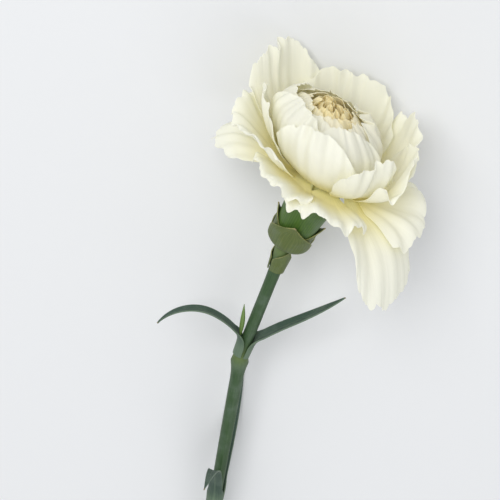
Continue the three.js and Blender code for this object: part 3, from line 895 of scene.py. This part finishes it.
def make_stem():
    top = CALYX_FOOT + head.ahead * STEM_REACH
    corners = np.array([*joints, top])
    steps = np.linalg.norm(np.diff(corners, axis=0), axis=1)
    marks = np.concatenate([[0], np.cumsum(steps)])
    even = np.linspace(0, marks[-1], LINE_POINTS)
    bent = np.stack([np.interp(even, marks, corners[:, k]) for k in range(3)], axis=-1)
    line = softened(bent, BEND_EASING)

    stations = [(0, STEM_RADIUS)]
    for mark in marks[1:-2]:
        stations += [(mark + off * MM, radius) for off, radius in ROUND_A_LEAF_JOINT]
    stations += [(marks[-2] + off * MM, radius) for off, radius in ROUND_THE_CALYX_FOOT]
    at, radii = np.array(stations).T
    radius_line = softened(np.interp(even, at, radii)[:, None], SWELLING_EASING)[:, 0]

    obj, angle, share = add_tube("stem_fine", 40, 480)
    point, ahead = along_line(line, share)
    radius = np.interp(share * marks[-1], even, radius_line)
    ridge = 1 + 0.012 * np.sin(6 * angle + 9 * share) + 0.008 * np.sin(11 * angle - 14 * share)
    write_points(obj, around(point, ahead, radius * ridge, angle))
    close_ends(obj, 3, 0.45 * MM, 0.04 * MM)

    # The joints and the neck are paler, and so is the pith inside the cut end's green rim.
    points = read_points(obj)
    from_end = points - CUT_END
    to_joints = [np.linalg.norm(points - joint, axis=1) for joint in LEAF_JOINTS]
    near = sum(np.exp(-((distance / (3.6 * MM)) ** 2)) for distance in to_joints)
    neck = smoothstep((points - CALYX_FOOT) @ directions[-1], -11 * MM, -4 * MM) * 0.55
    end = from_end @ directions[0] < 0.3 * MM
    pith = smoothstep(np.linalg.norm(from_end, axis=1), 2.45 * MM, 2.1 * MM) * end
    carry(obj, "pale", np.maximum(np.clip(0.85 * near + neck, 0, 0.9), pith))
    carry(obj, "dry", 0.0)

    # The streaks run lengthwise, so they follow the angle round the line and the way along it.
    whole = top - CUT_END
    own_point, _ = along_line(line, np.clip(from_end @ whole / (whole @ whole), 0, 1))
    aside = points - own_point
    carry(obj, "across", np.arctan2(np.abs(aside[:, 2]), aside[:, 0]))
    carry(obj, "along", from_end @ directions[1] / (40 * MM))
    smooth(obj, 50)
    stand_in(obj, "stem", green["stem"])
    return obj


stem = make_stem()
print("fine stem, mm:", in_mm((stem.bound_box[0], stem.bound_box[6])))

# %% [markdown]
# ## Calyx
# The calyx is five sepals grown together into one tube that ends in five pointed teeth. It is smooth
# and firm with many fine veins. An open tube is shaped to the same outline as the CAD solid, its rim
# is drawn out into the teeth, and Solidify gives it a wall.

# %% Calyx
CALYX_OUTSIDE = ((4.6, -27.6), (6.5, -26.4), (7.2, -23), (8.36, -14), (9.38, -6.7))  # radius, height
CALYX_TEETH = 5
TOOTH_DEPTH = 4.6 * MM
TOOTH_TOP = 1.3 * MM
RIM_RADIUS = np.array((9.4, 10.2)) * MM
CALYX_WALL = 0.64 * MM
VEINS_TO_A_TOOTH = 11
VEIN_RISE = 0.05 * MM
SEPAL_BULGE = 0.18 * MM
SEAM_DEPTH = 0.2 * MM


def tooth_at(angle):
    place = (angle * CALYX_TEETH / (2 * math.pi)) % 1
    return 1 - np.abs(2 * place - 1) ** 1.3


def make_calyx():
    obj, angle, share = add_tube("calyx_fine", 240, 84)
    tooth = tooth_at(angle)
    stations = np.empty((len(angle), len(CALYX_OUTSIDE) + 1, 2))
    stations[:, :-1] = np.array(CALYX_OUTSIDE) * MM
    stations[:, -1, 0] = lerp(RIM_RADIUS[0], RIM_RADIUS[1], tooth)
    stations[:, -1, 1] = -TOOTH_TOP - TOOTH_DEPTH * (1 - tooth)
    outline = curve_through(stations, share)
    vein = np.abs(np.sin(angle * CALYX_TEETH * VEINS_TO_A_TOOTH / 2)) ** 8
    seam = (1 - tooth) ** 4 * smoothstep(share, 0.15, 0.9)
    bulge = tooth * smoothstep(share, 0.1, 0.8)
    relief = VEIN_RISE * vein * share + SEPAL_BULGE * bulge - SEAM_DEPTH * seam
    write_points(obj, head.place(outline[:, 0] + relief, angle, outline[:, 1]))
    edge = smoothstep(share, 0.93, 1.0)
    carry(obj, "pale", np.clip(0.3 * vein * smoothstep(share, 0.1, 0.5) + 0.45 * edge, 0, 1))
    carry(obj, "dry", 0.7 * smoothstep(share, 0.975, 1.0) * tooth**3)
    carry(obj, "across", angle * 2)
    carry(obj, "along", share)
    face_outwards(obj)
    apply_modifier(obj, "SOLIDIFY", thickness=CALYX_WALL, offset=-1)
    smooth(obj)
    stand_in(obj, "calyx", green["calyx"])
    return obj


calyx = make_calyx()
print("calyx triangles:", 2 * len(calyx.data.polygons))

# %% [markdown]
# ## Ovary
# Inside the calyx, hidden by the petals, a disc carries the ovary with its two styles. It is turned
# like a spindle: a tube whose radius follows the outline, closed at both ends.

# %% Ovary
OVARY_DISC = ((0.3, -24.6), (5.6, -24.6), (5.9, -24.1), (5.6, -23.8), (1.8, -23.5))  # radius, height
OVARY_SPIRE = ((2.1, -19), (1.9, -14), (0.9, -9), (0.45, -4), (0.12, -0.05))
THINNEST = 0.1 * MM
GROOVE_DEPTH = 0.1


def finish_pale_piece(obj, node, pale):
    """The same pale green all over, with streaks that follow the piece's own place."""
    points = read_points(obj)
    carry(obj, "pale", pale)
    carry(obj, "dry", 0.0)
    carry(obj, "across", points[:, 0] / MM)
    carry(obj, "along", points[:, 1] / (10 * MM))
    smooth(obj)
    stand_in(obj, node, green["calyx"])


def make_ovary():
    obj, angle, share = add_tube("ovary_fine", 48, 70)
    outline = curve_through(np.array(OVARY_DISC + OVARY_SPIRE) * MM, share)
    groove = 1 - GROOVE_DEPTH * np.cos(angle) ** 8 * smoothstep(share, 0.4, 0.6)
    radius = np.maximum(outline[:, 0], THINNEST) * groove
    write_points(obj, head.place(radius, angle, outline[:, 1]))
    close_ends(obj, 0, 0, 0)
    finish_pale_piece(obj, "ovary", 0.8)


make_ovary()

# %% [markdown]
# ## Bracts
# Two crossed pairs of small pointed scales clasp the calyx's foot, and one more pair sits lower on
# the neck. Each is a sheet wrapped round the axis on its own outline. The tip is drawn out to a fine
# point that bends away, the edge is thin, pale and a little wavy, and a keel runs up the middle.

# %% Bracts
# All of these are in mm, as the outlines are.
CLEARANCE = 0.3
BRACT_ROOM = 0.5
BRACT_THICKNESS = 0.36
EDGE_WAVE = 0.12
KEEL_HEIGHT = 0.14
TIP_BEND = 0.5
# These are shares.
BRACT_CORNER = 0.3
BRACT_TIP = 0.02


def make_bract(name, axes, outline, side, half_angle):
    obj, across, along = add_sheet(f"{name}_fine", 56, 60)
    narrowing = lerp(1, BRACT_TIP, smoothstep(along, 0.45, 1) ** 1.4)
    reach = along * (1 - BRACT_CORNER * np.abs(across) ** 1.5 * along * narrowing)
    point = curve_through(np.array(outline) * MM, reach)
    angle = side + across * half_angle * narrowing
    ripple = np.sin(17 * along + 4 * across + side * 3) * np.abs(across) ** 3 * along
    keel = np.exp(-((across / 0.12) ** 2)) * smoothstep(along, 0.2, 0.7)
    tip = smoothstep(along, 0.8, 1.0)
    relief = EDGE_WAVE * ripple + KEEL_HEIGHT * keel + TIP_BEND * tip
    write_points(obj, axes.place(point[:, 0] + relief * MM, angle, point[:, 1]))
    veins = np.abs(np.sin(across * 27)) ** 8
    edge = smoothstep(np.abs(across), 0.86, 1) * smoothstep(along, 0.25, 0.6)
    top = smoothstep(along, 0.7, 1)
    carry(obj, "pale", np.clip(0.16 * veins + 0.8 * edge + 0.2 * top, 0, 1))
    carry(obj, "dry", 0.8 * smoothstep(along, 0.93, 1.0))
    carry(obj, "across", across * 2)
    carry(obj, "along", along)
    apply_modifier(obj, "SOLIDIFY", thickness=BRACT_THICKNESS * MM, offset=0)
    smooth(obj)
    stand_in(obj, name, green["bract"])


for n in range(4):
    layer = n // 2
    off = CLEARANCE + BRACT_ROOM / 2 + 0.15 + layer * (BRACT_ROOM + 2.5 * CLEARANCE)
    scale_outline = (
        (4.8, -28.1 - off),
        (6.9 + 0.6 * off, -26.1 - 0.7 * off),
        (7.2 + off, -22.5),
        (7.7 + off, -19),
        (8.7 + off + 0.4 * layer, -15.5),
    )
    side = math.radians(10 + 90 * layer + 180 * (n % 2))
    make_bract(f"epicalyx_bract_{n + 1}", head, scale_outline, side, math.radians(74))

neck_axes = Axes(CALYX_FOOT, directions[-1])
off = CLEARANCE + BRACT_ROOM / 2
lower_outline = ((2.6 + off, -13.2), (2.95 + off, -9.5), (3.35 + off, -6), (3.65 + off, -2.4))
for n in range(2):
    side = math.radians(60 + 180 * n)
    make_bract(f"lower_bract_{n + 1}", neck_axes, lower_outline, side, math.radians(80))

# %% [markdown]
# ## Leaves
# Carnation leaves stand in pairs. Each clasps the stem with a short sheath and then swings out as a
# long, narrow, channelled blade. The midrib is found by walking along the leaf with an angle that
# changes as it goes, and the sheet is laid on it: wrapped round the stem at the sheath, and then only
# gently curved across. Solidify makes it about half a millimetre thick.

# %% Leaves
LEAF_ROOM = 0.7 * MM
LEAF_THICKNESS = 0.525 * MM
SHEATH_LENGTH = 5
SHEATH_HALF_ANGLE = math.radians(80)
SHEATH_LEAN = 3
LEAF_START = 0.3 * MM
MIDRIB_DEPTH = 0.16 * MM
WALK_STEPS = 600
LEAVES = (
    # joint, side in degrees, length and width in mm, degrees from the stem at foot, middle and tip
    ("leaf_1a", 0, 196, 84, 6.2, (24, 40, 56)),
    ("leaf_1b", 0, 16, 78, 6.0, (30, 52, 40)),
    ("leaf_2a", 1, 100, 62, 5.6, (20, 44, 96)),
    ("leaf_2b", 1, 280, 58, 5.6, (16, 24, 12)),
    ("leaf_3a", 2, 352, 46, 6.2, (36, 48, 40)),
    ("leaf_3b", 2, 172, 46, 5.6, (34, 76, 160)),
)


def leaf_points(joint, side, length, width, angles, across, along):
    stem_axes = Axes(LEAF_JOINTS[joint], directions[joint + 1])
    side = math.radians(side)
    out = math.cos(side) * stem_axes.right + math.sin(side) * stem_axes.up
    sideways = np.cross(stem_axes.ahead, out)
    clasp_radius = THIN_RADIUS + (CLEARANCE + 0.1) * MM + LEAF_ROOM / 2
    sheath = SHEATH_LENGTH / length

    def angle_at(share):
        swing = np.interp(share, (0, 0.5, 1), angles)
        return np.radians(lerp(SHEATH_LEAN, swing, smoothstep(share, sheath, sheath + 0.12)))

    walk = angle_at((np.arange(WALK_STEPS) + 0.5) / WALK_STEPS)[:, None]
    step = (np.cos(walk) * stem_axes.ahead + np.sin(walk) * out) * length * MM / WALK_STEPS
    start = stem_axes.origin + out * clasp_radius + stem_axes.ahead * LEAF_START
    midrib = start + np.vstack([np.zeros(3), np.cumsum(step, axis=0)])
    ends = np.linspace(0, 1, WALK_STEPS + 1)
    rib = np.stack([np.interp(along, ends, midrib[:, k]) for k in range(3)], axis=-1)

    swing = angle_at(along)
    clasp = 1 - smoothstep(along, sheath * 0.8, sheath + 0.16)
    taper = (1 - along**3.2) ** 0.9 * 0.985 + 0.015
    half = lerp(width * MM / 2 * taper, clasp_radius * SHEATH_HALF_ANGLE, clasp)
    bend = lerp(0.9 / (width * MM), 1 / clasp_radius, clasp)
    inward = -np.cos(swing)[:, None] * out + np.sin(swing)[:, None] * stem_axes.ahead
    groove = -MIDRIB_DEPTH * np.exp(-((across / 0.1) ** 2)) * (1 - clasp)
    turned = across * half * bend
    lift = (1 - np.cos(turned)) / bend + groove
    points = rib + (np.sin(turned) / bend)[:, None] * sideways + lift[:, None] * inward
    return rest_on_surface(points, SURFACE)


def make_leaf(name, joint, side, length, width, angles):
    obj, across, along = add_sheet(f"{name}_fine", 30, 200)
    write_points(obj, leaf_points(joint, side, length, width, angles, across, along))
    midrib = np.exp(-((across / 0.07) ** 2)) * (1 - smoothstep(along, 0.75, 1))
    edge = smoothstep(np.abs(across), 0.9, 1)
    sheath_end = SHEATH_LENGTH / length
    sheath = 1 - smoothstep(along, sheath_end * 0.7, sheath_end + 0.12)
    veins = np.abs(np.sin(across * 14)) ** 6
    carry(obj, "pale", np.clip(0.45 * midrib + 0.5 * edge + 0.75 * sheath + 0.18 * veins, 0, 1))
    carry(obj, "dry", 0.7 * smoothstep(along, 0.985, 1.0))
    carry(obj, "across", across * 2)
    carry(obj, "along", along * length / 20)
    apply_modifier(obj, "SOLIDIFY", thickness=LEAF_THICKNESS, offset=0)
    smooth(obj)
    stand_in(obj, name, green["leaf"])


for leaf in LEAVES:
    make_leaf(*leaf)

# %% [markdown]
# ## Side shoot
# In the axil of the uppermost leaf stands a small pale shoot: narrow young leaves still folded round
# each other. A tube follows its outline, and a pair of grooves marks where one leaf wraps the next.

# %% Side shoot
# Radius, distance out from the stem and distance up it, in mm, from foot to tip.
SHOOT = (
    (0.3, 0.35, 8.8),
    (0.6, 0.65, 10.2),
    (0.9, 1.1, 12.5),
    (0.95, 1.7, 15.5),
    (0.7, 2.4, 18.5),
    (0.12, 3.4, 22.5),
)


def groove_at(angle, place, width, depth):
    return depth * np.exp(-(((angle - place) / width) ** 2))


def make_shoot():
    shoot_axes = Axes(LEAF_JOINTS[-1], directions[-1])
    side = math.radians(LEAVES[-1][2])
    obj, angle, share = add_tube("axillary_shoot_fine", 48, 60)
    outline = curve_through(np.array(SHOOT) * MM, share)
    middle = shoot_axes.place(STEM_RADIUS + CLEARANCE * MM + outline[:, 1], side, outline[:, 2])
    wrap = 1 - groove_at(angle, 1.2 - share, 0.25, 0.14) - groove_at(angle, -1.6, 0.2, 0.1)
    ahead = np.broadcast_to(shoot_axes.ahead, middle.shape)
    write_points(obj, around(middle, ahead, outline[:, 0] * wrap, angle))
    close_ends(obj, 0, 0, 0)
    finish_pale_piece(obj, "axillary_shoot", 0.85)


make_shoot()

# %% [markdown]
# ## Floor and light
# A plain pale floor and soft daylight. One big soft light stands above and behind the head, one
# weaker one fills from the stem's side, and the world is a pale grey.

# %% Floor and light
FLOOR_SIZE = 6
FLOOR_GREY = (0.765, 0.77, 0.775, 1)
SKY_WHITE = (0.95, 0.97, 1.0, 1)
SKY_STRENGTH = 0.66

bpy.ops.object.select_all(action="DESELECT")
bpy.ops.mesh.primitive_plane_add(size=FLOOR_SIZE, location=(0, 0, 0))
floor = bpy.context.active_object
floor.name = "floor"
floor_finish = Finish("floor")
floor_shader = floor_finish.node("ShaderNodeBsdfDiffuse", inputs={"Color": FLOOR_GREY})
floor.data.materials.append(floor_finish.surface(floor_shader))


def soft_light(name, size, energy, place):
    data = bpy.data.lights.new(name, "AREA")
    data.shape = "DISK"
    data.size = size
    data.energy = energy
    obj = bpy.data.objects.new(name, data)
    bpy.context.scene.collection.objects.link(obj)
    look(obj, Vector(place), Vector(head.origin), Vector((0, 1, 0.01)))


soft_light("key", 0.9, 10.5, (-0.45, 0.75, 1.25))
soft_light("fill", 1.2, 3.5, (0.7, -0.6, 1.2))
world = bpy.data.worlds.new("studio")
bpy.context.scene.world = world
world.use_nodes = True
sky = world.node_tree.nodes["Background"]
sky.inputs["Color"].default_value = SKY_WHITE
sky.inputs["Strength"].default_value = SKY_STRENGTH
bpy.context.scene.view_settings.view_transform = "Standard"
bpy.context.scene.cycles.diffuse_bounces = 8
bpy.context.scene.cycles.max_bounces = 14
